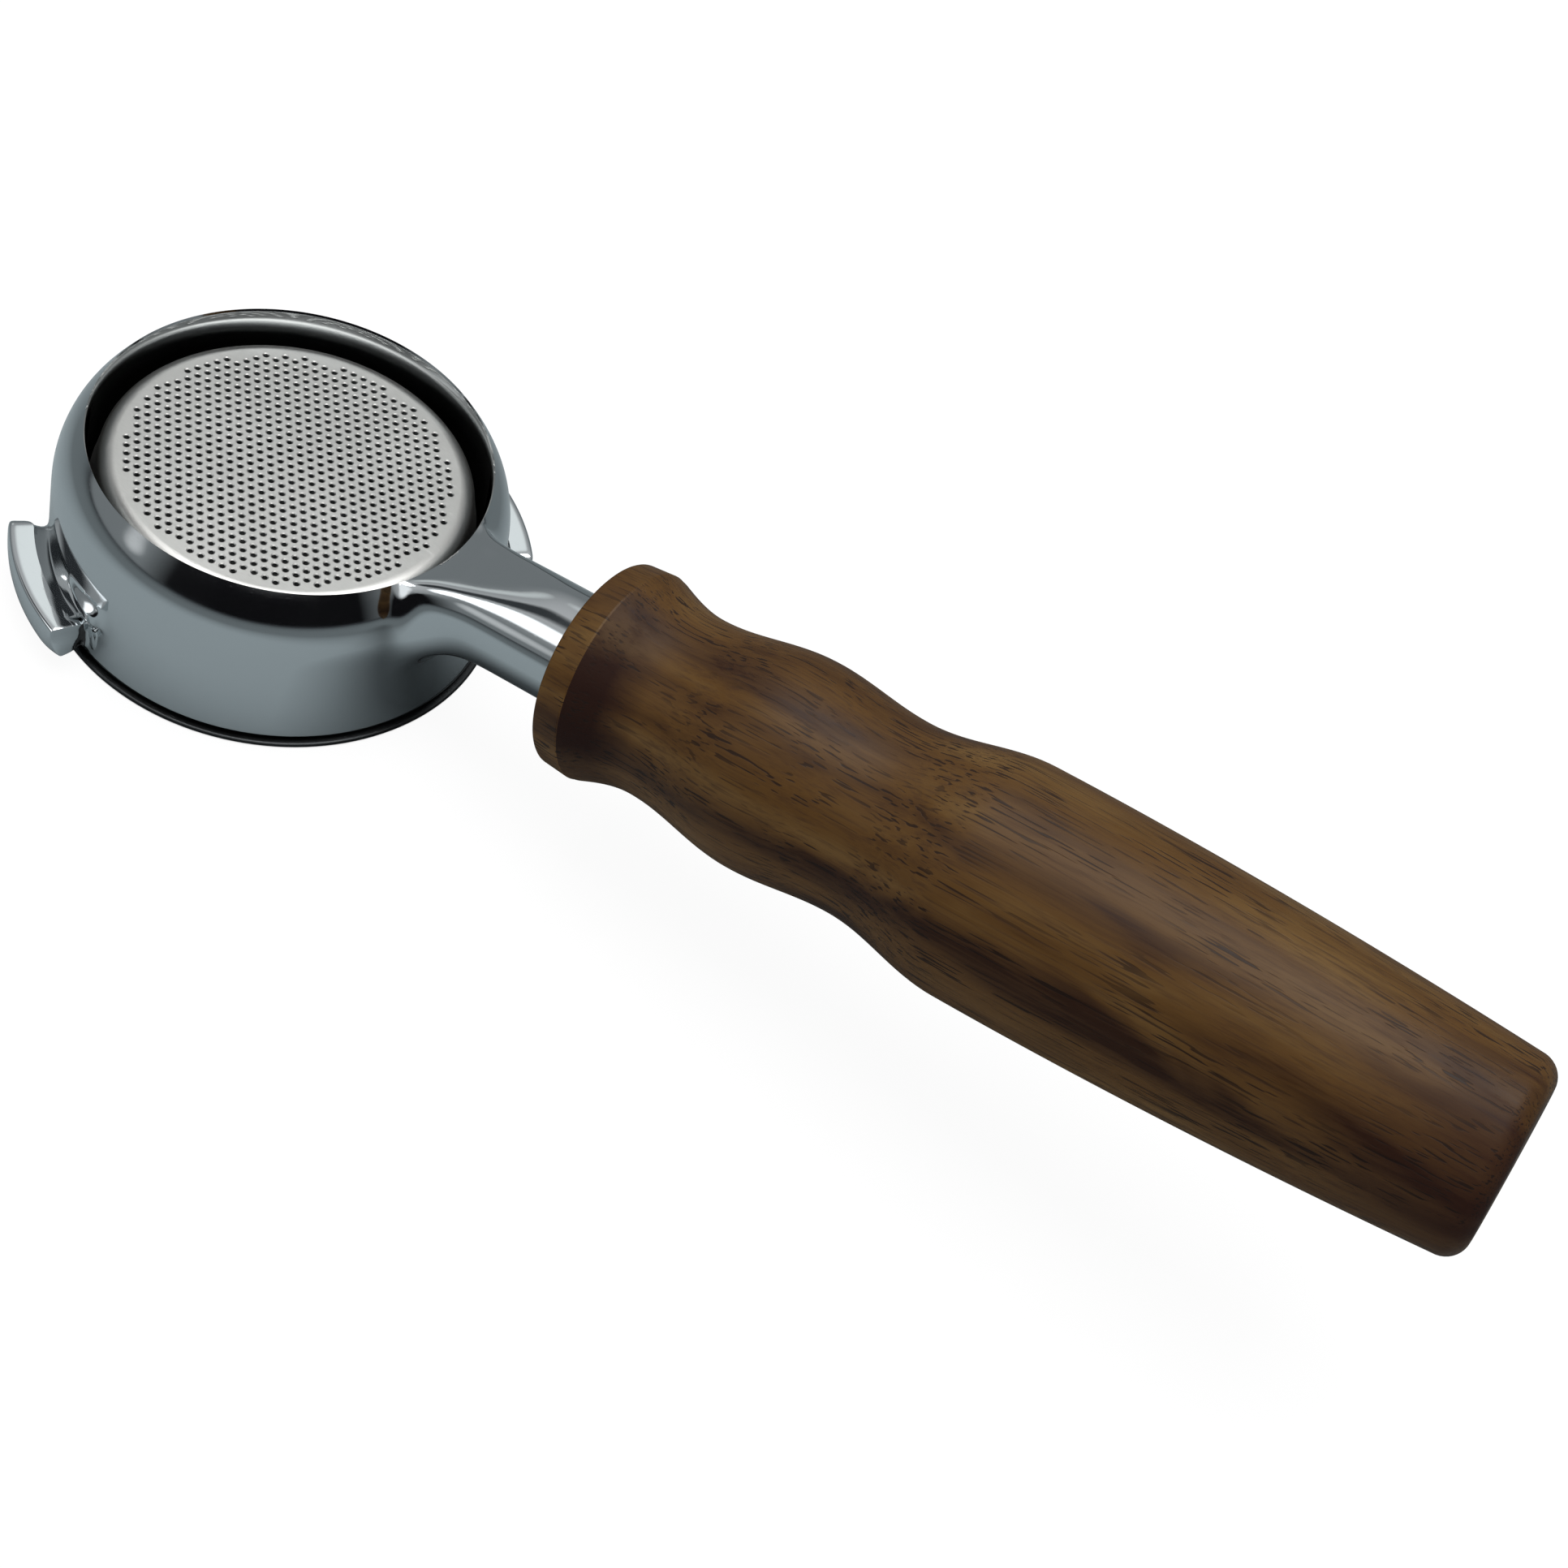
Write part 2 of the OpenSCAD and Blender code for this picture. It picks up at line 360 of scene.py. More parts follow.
picked = pick("FACE", lambda p: on_wall(p, EAR_LOW - EAR_DRAFT, EAR_TOP) and in_leg(p))
print("leg faces:", picked)
bpy.ops.mesh.inset(thickness=LEG_INSET * MM)
grow_to(RING_R + LEG_OUT, RING_R)
pick("VERT", lambda p: in_leg(p) and reach(p) > (RING_R + LEG_OUT / 2) * SWELL and p.z < EAR_FLOOR - 1)
scale = (RING_R + LEG_FOOT_OUT) / (RING_R + LEG_OUT)
bpy.ops.transform.resize(value=(scale, scale, 1), center_override=(0, 0, 0))
pick("VERT", lambda p: in_leg(p) and is_reach(p, RING_R + LEG_OUT) and p.z > EAR_TOP - 1)
bpy.ops.transform.translate(value=(0, 0, LEG_LIFT * MM))

# %% [markdown]
# The neck starts as a circle with as many corners as the hole it grows from. Each station is
# extruded along the axis; near the ring its top is flattened, by scaling all that stands above the
# flat's height down onto it. The two openings are bridged here, and the next step rounds the seam.
# %% Neck
HOLE_HALF = 5 * STEP
NECK_R = 8.7
NECK_SIDES = 30
NECK_SWELL = 6 / (4 + 2 * math.cos(math.radians(360 / NECK_SIDES)))
FLAT_START_S = 31.0
FLAT_END_S = 51.0
FLAT_START_H = 4.6
NECK_STATIONS = [38.0, 42.0, 46.5, 51.0, 55.0, 60.0, 66.0]
STUD_R = 5.0
STUD_DEPTH = 17.0


def facing_neck(p):
    return min(turn(p), 360 - turn(p)) < HOLE_HALF + ANGLE_SLACK


def in_hole(p):
    outside = reach(p) > (BORE_R + BEVEL_W) * SWELL - TOUCH
    return facing_neck(p) and p.z > NECK_LOW - TOUCH and outside


pick("FACE", in_hole)
bpy.ops.mesh.delete(type="FACE")
hole_edges = pick("EDGE", in_hole, boundary=True)
leave_edit()

neck = new_circle("neck", NECK_SIDES, NECK_R * NECK_SWELL, NECK_STATIONS[0], start_turn=90)
neck_rows = [(NECK_R * NECK_SWELL, station) for station in NECK_STATIONS]
neck_rows += [(STUD_R, NECK_STATIONS[-1]), (STUD_R, NECK_STATIONS[-1] - STUD_DEPTH)]
add_rows(neck_rows)
bpy.ops.mesh.edge_face_add()
for station in NECK_STATIONS:
    share = (station - FLAT_START_S) / (FLAT_END_S - FLAT_START_S)
    flat_h = FLAT_START_H + (NECK_R - FLAT_START_H) * share
    if flat_h < NECK_R:
        pick("VERT", lambda p: near(p.z, station) and -p.x > flat_h)
        bpy.ops.transform.resize(value=(0, 1, 1), center_override=(-flat_h * MM, 0, station * MM))
print("hole has", hole_edges, "edges, the neck", NECK_SIDES)
leave_edit()
lay_on_handle(neck)

holder = join([holder, neck], "chromed_holder")


def along_handle(p):
    """How far a point lies along the handle's axis."""
    return p.x * math.cos(math.radians(TILT)) + (p.z - AXIS_Z) * math.sin(math.radians(TILT))


def at_neck_start(p):
    return near(along_handle(p), NECK_STATIONS[0], 2 * TOUCH)


picked = pick("EDGE", lambda p: in_hole(p) or at_neck_start(p), boundary=True)
bpy.ops.mesh.bridge_edge_loops(number_cuts=1, smoothness=0.8, interpolation="PATH")
print("bridged edges:", picked)
face_outwards()
leave_edit()
report(holder)

# %% [markdown]
# The seam between the neck and the wall is still an angle. Relaxing the rows of points on either
# side of it rounds the angle, like a finger run along a clay joint. The rim and the flat stay put.
# Creases then say which edges of the cage stay crisp when it is subdivided, from 0 to 1.
# %% Fillet and creases
FILLET_PASSES = 4
FILLET_DEPTH = 3.0
FILLET_DROP = 1.0
FLAT_HALF = 9.5


def creased(test, value):
    pick("EDGE", test)
    bpy.ops.transform.edge_crease(value=value)


def ring_edge(radius, height):
    return lambda p: is_reach(p, radius) and near(p.z, height)


def on_seam(p):
    ring_side = facing_neck(p) and reach(p) > RING_R - FILLET_DEPTH and p.z > NECK_LOW - FILLET_DROP
    top = p.z > RIM_Z - BEVEL_H and abs(p.y) < FLAT_HALF
    return ring_side and along_handle(p) < NECK_STATIONS[0] + 2 * TOUCH and not top


edit()
pick("VERT", on_seam)
bpy.ops.mesh.vertices_smooth(factor=0.5, repeat=FILLET_PASSES)
for radius, height in ((BORE_R + BEVEL_W, RIM_Z), (BORE_R, RIM_Z - BEVEL_H), (GROOVE_R, GROOVE_LOW),
                       (GROOVE_R, GROOVE_HIGH), (BORE_R, GROOVE_LOW), (BORE_R, GROOVE_HIGH),
                       (BORE_R, LAND_Z), (LAND_R, LAND_Z), (LAND_R, EDGE_Z)):
    creased(ring_edge(radius, height), 1.0)
creased(ring_edge(RING_R, EDGE_Z), 0.8)


def along_ear(radius, height):
    return lambda p: is_reach(p, radius) and near(p.z, height) and in_ear(p)


def at_ear_end(p):
    at_end = any(near(turn(p), high, ANGLE_SLACK) for low, high in EAR_SPANS)
    return at_end and reach(p) > RING_R * SWELL - TOUCH and EAR_LOW - TOUCH < p.z < EAR_TOP + TOUCH


def along_stop(radius, height):
    return lambda p: near(reach(p), radius * SWELL, STOP_OUT) and near(p.z, height) and in_stop(p)


creased(along_ear(BAND_R, EAR_TOP), 0.75)
creased(along_ear(BAND_R, EAR_FLOOR), 0.5)
creased(along_ear(RING_R, EAR_FLOOR), 0.7)
creased(at_ear_end, 0.75)
creased(along_stop(RING_R, STOP_LOW), 0.9)
creased(along_stop(RING_R, STOP_TOP), 0.8)
creased(along_stop(RING_R + STOP_OUT / 2, STOP_TOP - STOP_SLANT), 0.6)
creased(lambda p: in_leg(p) and is_reach(p, RING_R + LEG_OUT), 0.4)

# %% [markdown]
# Two last strokes on the ears. The groove's floor rises towards its open end: each pair is the share
# of its depth that the outer and the inner edge are lifted, column by column. And neither end of an
# ear lies quite on a radius: at the open end the wall's points are turned back, and at the closed
# end the outer ones are, so that face looks a little outwards.
# %% Ear ramp, ear ends and subdivision
GROOVE_RAMP = [(0.85, 0.35), (0.80, 0.30), (0.70, 0.20), (0.55, 0.10), (0.40, 0.0), (0.25, 0.0), (0.10, 0.0)]
OPEN_END_BACK = 1.5
CLOSED_END_BACK = ((BAND_R, 0.7), (EAR_ROUND_R, 1.7), (EAR_R, 2.0))


def turn_back(degrees):
    bpy.ops.transform.rotate(value=math.radians(degrees), orient_axis="Z", center_override=(0, 0, 0))


for column, shares in enumerate(GROOVE_RAMP):
    for radius, share in zip((BAND_R, RING_R), shares):
        pick("VERT", lambda p: along_ear(radius, EAR_FLOOR)(p) and in_column(p, EAR_SPANS, column))
        bpy.ops.transform.translate(value=(0, 0, (EAR_TOP - EAR_FLOOR) * share * MM))
pick("VERT", lambda p: on_wall(p, EAR_LOW - EAR_DRAFT, EAR_TOP) and in_column(p, EAR_SPANS, 0))
turn_back(OPEN_END_BACK)
for radius, back in CLOSED_END_BACK:
    pick("VERT", lambda p: at_ear_end(p) and is_reach(p, radius))
    turn_back(back)
leave_edit()
apply_modifier(holder, "SUBSURF", levels=2, render_levels=2)
smooth_shading(holder)
report(holder)
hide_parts("holder_body")
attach(holder, "holder")

# %% [markdown]
# The basket's floor holds over seven hundred punched holes. One hexagonal cell is modelled, with a
# dimple round its hole, and array modifiers repeat it column by column. Cut by booleans, so many
# holes would leave long thin triangles that catch the light.
# %% One cell of the perforated floor
PITCH = 1.735
HOLE_R = 0.42
DIMPLE_R = 0.58
DIMPLE_D = 0.12
FLOOR_Z = 24.3
SHEET = 0.5
FIELD_R = 24.5
FIELD_TURN = 44.0
CELL_R = PITCH / math.sqrt(3)


def add_circle(count, radius, height, spin=0.0):
    bpy.ops.mesh.primitive_circle_add(vertices=count, radius=radius * MM, location=(0, 0, height * MM),
                                      rotation=(0, 0, math.radians(spin)))


cell = new_circle("cell", 6, CELL_R, FLOOR_Z, 30)
bpy.ops.mesh.subdivide(number_cuts=1)
add_circle(12, DIMPLE_R, FLOOR_Z)
bpy.ops.mesh.select_all(action="SELECT")
bpy.ops.mesh.bridge_edge_loops()
pick("EDGE", lambda p: near(reach(p), DIMPLE_R, 0.02), boundary=True)
add_rows([(DIMPLE_R, FLOOR_Z), (HOLE_R, FLOOR_Z - DIMPLE_D), (HOLE_R, FLOOR_Z - SHEET)])
add_circle(6, CELL_R, FLOOR_Z - SHEET, 30)
bpy.ops.mesh.subdivide(number_cuts=1)
pick("EDGE", lambda p: near(p.z, FLOOR_Z - SHEET), boundary=False)
bpy.ops.mesh.bridge_edge_loops()
leave_edit()
report(cell)

# %% Fill the field with columns of cells
ROW_STEP = PITCH * math.sqrt(3) / 2
half = int(FIELD_R / ROW_STEP)


def cell_column(index):
    """One column of cells: as many as keep their centres inside the field."""
    x = index * ROW_STEP
    shift = 0 if index % 2 == 0 else 0.5
    places = [j + shift for j in range(-half, half + 1) if math.hypot(x, (j + shift) * PITCH) < FIELD_R]
    bpy.ops.object.select_all(action="DESELECT")
    column = cell.copy()
    column.data = cell.data.copy()
    bpy.context.scene.collection.objects.link(column)
    apply_modifier(column, "ARRAY", count=len(places), use_relative_offset=False,
                   use_constant_offset=True, constant_offset_displace=(0, PITCH * MM, 0))
    column.location = (x * MM, places[0] * PITCH * MM, 0)
    bpy.ops.object.transform_apply(location=True, rotation=True, scale=True)
    return column, len(places)


columns = [cell_column(index) for index in range(-half, half + 1)]
print("holes:", sum(count for column, count in columns))
bpy.data.objects.remove(cell)
field = join([column for column, count in columns], "field")
merge(0.02)
leave_edit()
field.rotation_euler.z = math.radians(FIELD_TURN)
bpy.ops.object.transform_apply(location=True, rotation=True, scale=True)

# %% [markdown]
# The wall of the basket is turned on the lathe, from the flat rim of the floor over the rounded
# corner, down to the flange and back up inside. The gap between its round rim and the ragged edge
# of the cells is filled, above and below.
# %% Basket wall
PLATE_R = 25.8
FLOOR_EDGE_R = 25.7
CORNER_R = 2.6
CUP_R = 29.25
FLANGE_R = 35.3
FLANGE_T = 0.8
STRAIGHT_TOP = 15.0
TAPER_Z = 18.0
TAPER_IN = 0.45
FOOT_R = 0.8
LATHE = 144
corner_z = FLOOR_Z - CORNER_R
outer_r = CUP_R + SHEET
wall_outline = [(FLOOR_EDGE_R, FLOOR_Z), (PLATE_R, FLOOR_Z)]
wall_outline += arc_rows(PLATE_R, corner_z, CORNER_R, 90, 0, 12)
wall_outline += [(outer_r - TAPER_IN, TAPER_Z), (outer_r, STRAIGHT_TOP), (outer_r, 2 * FOOT_R)]
wall_outline += arc_rows(outer_r + FOOT_R, 2 * FOOT_R, FOOT_R, 180, 270, 5)
wall_outline += [(FLANGE_R - FLANGE_T / 2, FLANGE_T)]
wall_outline += arc_rows(FLANGE_R - FLANGE_T / 2, FLANGE_T / 2, FLANGE_T / 2, 90, -90, 8)
wall_outline += [(CUP_R + FOOT_R, 0)]
wall_outline += arc_rows(CUP_R + FOOT_R, FOOT_R, FOOT_R, 270, 180, 5)
wall_outline += [(CUP_R, STRAIGHT_TOP), (CUP_R - TAPER_IN, TAPER_Z)]
wall_outline += [(PLATE_R + CORNER_R - SHEET, corner_z)]
wall_outline += arc_rows(PLATE_R, corner_z, CORNER_R - SHEET, 0, 90, 10)
wall_outline += [(FLOOR_EDGE_R, FLOOR_Z - SHEET)]
wall = turned_piece("wall", wall_outline, LATHE)
leave_edit()
basket = join([field, wall], "perforated_basket")
for height in (FLOOR_Z, FLOOR_Z - SHEET):
    pick("EDGE", lambda p: near(p.z, height, 0.01), boundary=True)
    bpy.ops.mesh.fill(use_beauty=True)
merge(0.005)
face_outwards()
open_edges = pick("EDGE", lambda p: True, boundary=True)
print("open edges left in the basket:", open_edges)
leave_edit()
smooth_shading(basket)
report(basket)
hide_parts("filter_basket")
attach(basket, "basket")

# %% [markdown]
# The grip is turned from one billet of walnut: a crisp collar, a cove, a swell, a waist and a long
# belly that tapers to a flat end. Its outline is written as a few smooth waves, and the lathe does
# the rest. The socket for the neck and the hole for the insert are turned with it.
# %% Grip
GRIP_START = 59.8
GRIP_LEN = 143.0
SOCKET_R = 9.0
SOCKET_DEPTH = 8.1
INSERT_R = 7.0
INSERT_END = 36.1
COLLAR_FRONT_R = 16.2
COLLAR_R = 16.5
COLLAR_LEN = 4.5
COVE = (14.1, 14.0)
SWELL_TOP = (16.4, 32.0)
WAIST = (14.9, 48.5)
BELLY = (17.7, 67.0)
TAIL = (14.5, 139.5)
TAIL_POWER = 1.85
EDGE_ROUND = 0.4
COLLAR_EDGE = 0.25
GRIP_LATHE = 128


def wave(start, end, steps=16):
    """Rows of a smooth S between two stations, each (radius, length)."""
    shares = [i / steps for i in range(1, steps + 1)]
    return [(start[0] + (end[0] - start[0]) * (1 - math.cos(math.pi * t)) / 2,
             start[1] + (end[1] - start[1]) * t) for t in shares]


cove_shares = [i / 16 for i in range(1, 17)]
tail_shares = [i / 40 for i in range(1, 41)]
tail_round = GRIP_LEN - TAIL[1]
outline = [(INSERT_R, INSERT_END), (INSERT_R, SOCKET_DEPTH), (SOCKET_R, SOCKET_DEPTH), (SOCKET_R, EDGE_ROUND)]
outline += [(SOCKET_R + EDGE_ROUND, 0), (COLLAR_FRONT_R - EDGE_ROUND, 0)]
outline += arc_rows(COLLAR_FRONT_R - EDGE_ROUND, EDGE_ROUND, EDGE_ROUND, -90, 0, 4)
outline += [(COLLAR_R, COLLAR_LEN - COLLAR_EDGE), (COLLAR_R - 0.4 * COLLAR_EDGE, COLLAR_LEN)]
outline += [(COLLAR_R - (COLLAR_R - COVE[0]) * math.sin(math.pi / 2 * t),
             COLLAR_LEN + (COVE[1] - COLLAR_LEN) * t) for t in cove_shares]
outline += wave(COVE, SWELL_TOP) + wave(SWELL_TOP, WAIST) + wave(WAIST, BELLY)
outline += [(BELLY[0] - (BELLY[0] - TAIL[0]) * t ** TAIL_POWER, BELLY[1] + (TAIL[1] - BELLY[1]) * t)
            for t in tail_shares]
outline += arc_rows(TAIL[0] - tail_round, TAIL[1], tail_round, 0, 90, 10)
grip = turned_piece("walnut_grip", [(r, GRIP_START + length) for r, length in outline], GRIP_LATHE)
bpy.ops.mesh.edge_face_add()
pick("EDGE", lambda p: near(p.z, GRIP_START + INSERT_END), boundary=True)
bpy.ops.mesh.edge_face_add()
face_outwards()
leave_edit()
lay_on_handle(grip)
smooth_shading(grip, 25)
report(grip)
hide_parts("handle_grip")
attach(grip, "holder")

# %% [markdown]
# Materials are node graphs on Object coordinates, so they stay put on the piece. Fine wear is the
# same idea on every metal here: hairline scratches and a soft haze of handling. It is one shader
# node group with its own numbers in each material, instead of a copy in each.
# %% Helpers for materials
def add_node(tree, kind, **settings):
    node = tree.nodes.new(kind)
    for key, value in settings.items():
        setattr(node, key, value)
    return node


def set_inputs(node, **values):
    for name, value in values.items():
        node.inputs[name.replace("_", " ")].default_value = value
    return node


def new_group(name, inputs, outputs):
    """A shader node group. Inputs are (name, kind, default), outputs (name, kind)."""
    tree = bpy.data.node_groups.new(name, "ShaderNodeTree")
    for label, kind, default in inputs:
        socket = tree.interface.new_socket(label, in_out="INPUT", socket_type=kind)
        if default is not None:
            socket.default_value = default
    for label, kind in outputs:
        tree.interface.new_socket(label, in_out="OUTPUT", socket_type=kind)
    return tree, add_node(tree, "NodeGroupInput"), add_node(tree, "NodeGroupOutput")


def noise(tree, vector, scale, detail=3.0, distortion=0.0, roughness=0.5):
    node = add_node(tree, "ShaderNodeTexNoise")
    set_inputs(node, Scale=scale, Detail=detail, Distortion=distortion, Roughness=roughness)
    tree.links.new(vector, node.inputs["Vector"])
    return node.outputs["Fac"]


def remap(tree, value, low, high, to_low=0.0, to_high=1.0):
    node = add_node(tree, "ShaderNodeMapRange", clamp=True)
    for socket, number in zip(("From Min", "From Max", "To Min", "To Max"), (low, high, to_low, to_high)):
        node.inputs[socket].default_value = number
    tree.links.new(value, node.inputs["Value"])
    return node.outputs["Result"]


def calc(tree, operation, first, second):
    node = add_node(tree, "ShaderNodeMath", operation=operation)
    for socket, value in zip(node.inputs, (first, second)):
        if isinstance(value, (int, float)):
            socket.default_value = value
        else:
            tree.links.new(value, socket)
    return node.outputs["Value"]


def stretch(tree, vector, scale, turn_by=(0.0, 0.0, 0.0)):
    node = add_node(tree, "ShaderNodeMapping")
    set_inputs(node, Scale=scale, Rotation=turn_by)
    tree.links.new(vector, node.inputs["Vector"])
    return node.outputs["Vector"]


def mix_colours(tree, share, first, second):
    node = add_node(tree, "ShaderNodeMix", data_type="RGBA")
    for label, value in (("Factor", share), ("A", first), ("B", second)):
        socket = node.inputs[label]
        if isinstance(value, float):
            socket.default_value = value
        elif isinstance(value, tuple):
            socket.default_value = (*value, 1.0)
        else:
            tree.links.new(value, socket)
    return node.outputs["Result"]


def new_material(name, **values):
    """A Principled BSDF material. Returns it, its tree, its shader and its Object coordinates."""
    material = bpy.data.materials.new(name)
    material.use_nodes = True
    tree = material.node_tree
    shader = tree.nodes["Principled BSDF"]
    set_inputs(shader, **values)
    place = add_node(tree, "ShaderNodeTexCoord").outputs["Object"]
    return material, tree, shader, place


def split(tree, vector):
    """The X, Y and Z of a vector, by name."""
    node = add_node(tree, "ShaderNodeSeparateXYZ")
    tree.links.new(vector, node.inputs["Vector"])
    return node.outputs


def vector_calc(tree, operation, vector, other=None):
    """A vector operation with a fixed second vector. LENGTH, DISTANCE and DOT_PRODUCT give a value."""
    node = add_node(tree, "ShaderNodeVectorMath", operation=operation)
    tree.links.new(vector, node.inputs[0])
    if other is not None:
        node.inputs[1].default_value = other
    return node.outputs["Value" if operation in ("LENGTH", "DISTANCE", "DOT_PRODUCT") else "Vector"]


def add_bump(tree, shader, height, strength, distance):
    bump = add_node(tree, "ShaderNodeBump")
    set_inputs(bump, Strength=strength, Distance=distance)
    tree.links.new(height, bump.inputs["Height"])
    tree.links.new(bump.outputs["Normal"], shader.inputs["Normal"])


def dress(piece, material):
    piece.data.materials.clear()
    piece.data.materials.append(material)


# %% Shared group: hairlines and haze on metal
wear_tree, wear_in, wear_out = new_group(
    "metal_wear",
    [("Vector", "NodeSocketVector", None), ("Base Roughness", "NodeSocketFloat", 0.1),
     ("Haze", "NodeSocketFloat", 0.05), ("Hairline", "NodeSocketFloat", 0.03)],
    [("Roughness", "NodeSocketFloat"), ("Height", "NodeSocketFloat")])
wear_place = wear_in.outputs["Vector"]
cloud = remap(wear_tree, noise(wear_tree, wear_place, 55.0, 4.0, 0.6), 0.42, 0.72)
hair_a = stretch(wear_tree, wear_place, (1.0, 14.0, 14.0), (0.3, 0.2, 0.5))
hair_b = stretch(wear_tree, wear_place, (14.0, 1.0, 14.0), (0.6, 0.4, 0.1))
hair_a = remap(wear_tree, noise(wear_tree, hair_a, 420.0, 2.0), 0.66, 0.74)
hair_b = remap(wear_tree, noise(wear_tree, hair_b, 380.0, 2.0), 0.67, 0.75)
hairs = calc(wear_tree, "MAXIMUM", hair_a, hair_b)
hazy = calc(wear_tree, "MULTIPLY", cloud, wear_in.outputs["Haze"])
scratched = calc(wear_tree, "MULTIPLY", hairs, wear_in.outputs["Hairline"])
rough = calc(wear_tree, "ADD", wear_in.outputs["Base Roughness"], calc(wear_tree, "ADD", hazy, scratched))
wear_tree.links.new(rough, wear_out.inputs["Roughness"])
wear_tree.links.new(calc(wear_tree, "MULTIPLY", hairs, -1.0), wear_out.inputs["Height"])


def add_wear(tree, shader, place, base, haze, hairline):
    """Puts the metal_wear group in a material. Returns its Height."""
    group = add_node(tree, "ShaderNodeGroup", node_tree=wear_tree)
    tree.links.new(place, group.inputs["Vector"])
    for label, value in (("Base Roughness", base), ("Haze", haze), ("Hairline", hairline)):
        group.inputs[label].default_value = value
    tree.links.new(group.outputs["Roughness"], shader.inputs["Roughness"])
    return group.outputs["Height"]


# %% [markdown]
# Decorative chrome is almost a mirror, a little blue, and reflects well over half of the light. It
# lies on polished brass, whose surface is never quite true: a very long, very shallow bump keeps
# reflections from looking drawn with a ruler. Inside the bore, from the rim downwards, the colour is
# darkened to paint the shade in the gap round the basket, so that gap stays black.
# %% Chrome
CHROME = (0.56, 0.585, 0.595)
BORE_SHADE = (0.03, 0.03, 0.03)
BORE_SHADE_TOP = 27.5
BORE_SHADE_FULL = 22.0
chrome, tree, shader, place = new_material("polished_chrome", Metallic=1.0)
hairs = add_wear(tree, shader, place, 0.055, 0.05, 0.06)
waves = noise(tree, place, 60.0, 2.0)
add_bump(tree, shader, calc(tree, "ADD", calc(tree, "MULTIPLY", hairs, 0.02), waves), 0.25, 0.00012)
from_axis = vector_calc(tree, "LENGTH", vector_calc(tree, "MULTIPLY", place, (1.0, 1.0, 0.0)))
bore = remap(tree, from_axis, (BORE_R + 0.05) * MM, (BORE_R + 0.15) * MM, 1.0, 0.0)
deep = remap(tree, split(tree, place)["Z"], BORE_SHADE_FULL * MM, BORE_SHADE_TOP * MM, 1.0, 0.0)
# Painted shade: the chrome darkens inside the bore, from the rim down towards the basket.
bore_shade = calc(tree, "MULTIPLY", calc(tree, "MULTIPLY", bore, deep), 0.85)
tree.links.new(mix_colours(tree, bore_shade, CHROME, BORE_SHADE), shader.inputs["Base Color"])
dress(holder, chrome)

# %% [markdown]
# The basket is drawn from stainless sheet, so its floor keeps the rolled sheet's satin: a fine
# grain in one direction. Its flange lies in the shade under the ring, painted nearly black: the
# colour is mixed once more by height, with painted shade on the lowest millimetre.
# %% Basket steel
FLANGE_SHADE_TOP = 1.4
FLANGE_SHADE_FADE = 0.8
satin, tree, shader, place = new_material("satin_basket_steel", Metallic=1.0)
hairs = add_wear(tree, shader, place, 0.32, 0.05, 0.05)
grain = noise(tree, stretch(tree, place, (1.0, 9.0, 9.0), (0.0, 0.0, math.radians(20))), 900.0, 3.0)
patch = noise(tree, place, 70.0, 3.0, 0.4)
tone = calc(tree, "ADD", calc(tree, "MULTIPLY", grain, 0.5), calc(tree, "MULTIPLY", patch, 0.5))
colour = mix_colours(tree, remap(tree, tone, 0.30, 0.70), (0.37, 0.368, 0.355), (0.43, 0.428, 0.413))
# Painted shade: the flange under the ring turns nearly black.
flange_shade = remap(tree, split(tree, place)["Z"], FLANGE_SHADE_TOP * MM, (FLANGE_SHADE_TOP + FLANGE_SHADE_FADE) * MM, 1.0, 0.0)
colour = mix_colours(tree, flange_shade, colour, (0.035, 0.037, 0.038))
tree.links.new(colour, shader.inputs["Base Color"])
add_bump(tree, shader, calc(tree, "ADD", grain, hairs), 0.35, 0.00004)
dress(basket, satin)

# %% [markdown]
# Walnut is built the way the tree builds it. Growth rings are distances from a pith line that runs
# beside the grip, pushed about by a noise. A slow noise and long streaks of heartwood change the
# colour from olive to chocolate, fibres draw fine dark lines along the grain, and vessels are short
# dark scratches that come in crowds. Everything is drawn out along the handle's axis, so the
# coordinates are first turned and moved until that axis is X. Oil leaves a low satin sheen.
# %% Walnut: grain
PITH_SIDE = 5.0
PITH_HEIGHT = 27.0
RING_WIDTH = 6.5
walnut, tree, shader, place = new_material("oiled_walnut", Specular_IOR_Level=0.15)
slope = math.radians(TILT)
level = add_node(tree, "ShaderNodeMapping")
set_inputs(level, Rotation=(0.0, slope, 0.0),
           Location=(-AXIS_Z * MM * math.sin(slope), 0.0, -AXIS_Z * MM * math.cos(slope)))
tree.links.new(place, level.inputs["Vector"])
along = level.outputs["Vector"]
on_axis = split(tree, along)
slow = noise(tree, stretch(tree, along, (0.30, 1.0, 1.0)), 95.0, 3.0, 0.7)
streaks = noise(tree, stretch(tree, along, (0.035, 1.0, 1.0)), 430.0, 5.0, 0.15, 0.68)
fibres = noise(tree, stretch(tree, along, (0.035, 1.0, 1.0)), 1900.0, 4.0, 0.0, 0.65)
vessels = noise(tree, stretch(tree, along, (0.040, 1.0, 1.0)), 2700.0, 1.0, 0.0, 0.3)
crowds = noise(tree, stretch(tree, along, (0.16, 1.0, 1.0)), 190.0, 2.0, 0.3)
rings = add_node(tree, "ShaderNodeTexWave", wave_type="RINGS", rings_direction="X", wave_profile="SIN")
set_inputs(rings, Scale=2 * math.pi / (20 * RING_WIDTH * MM), Distortion=9.0, Detail=3.0, Detail_Scale=1.3)
pith = stretch(tree, along, (0.16, 1.0, 1.0))
pith.node.inputs["Location"].default_value = (0.0, -PITH_SIDE * MM, -PITH_HEIGHT * MM)
tree.links.new(pith, rings.inputs["Vector"])
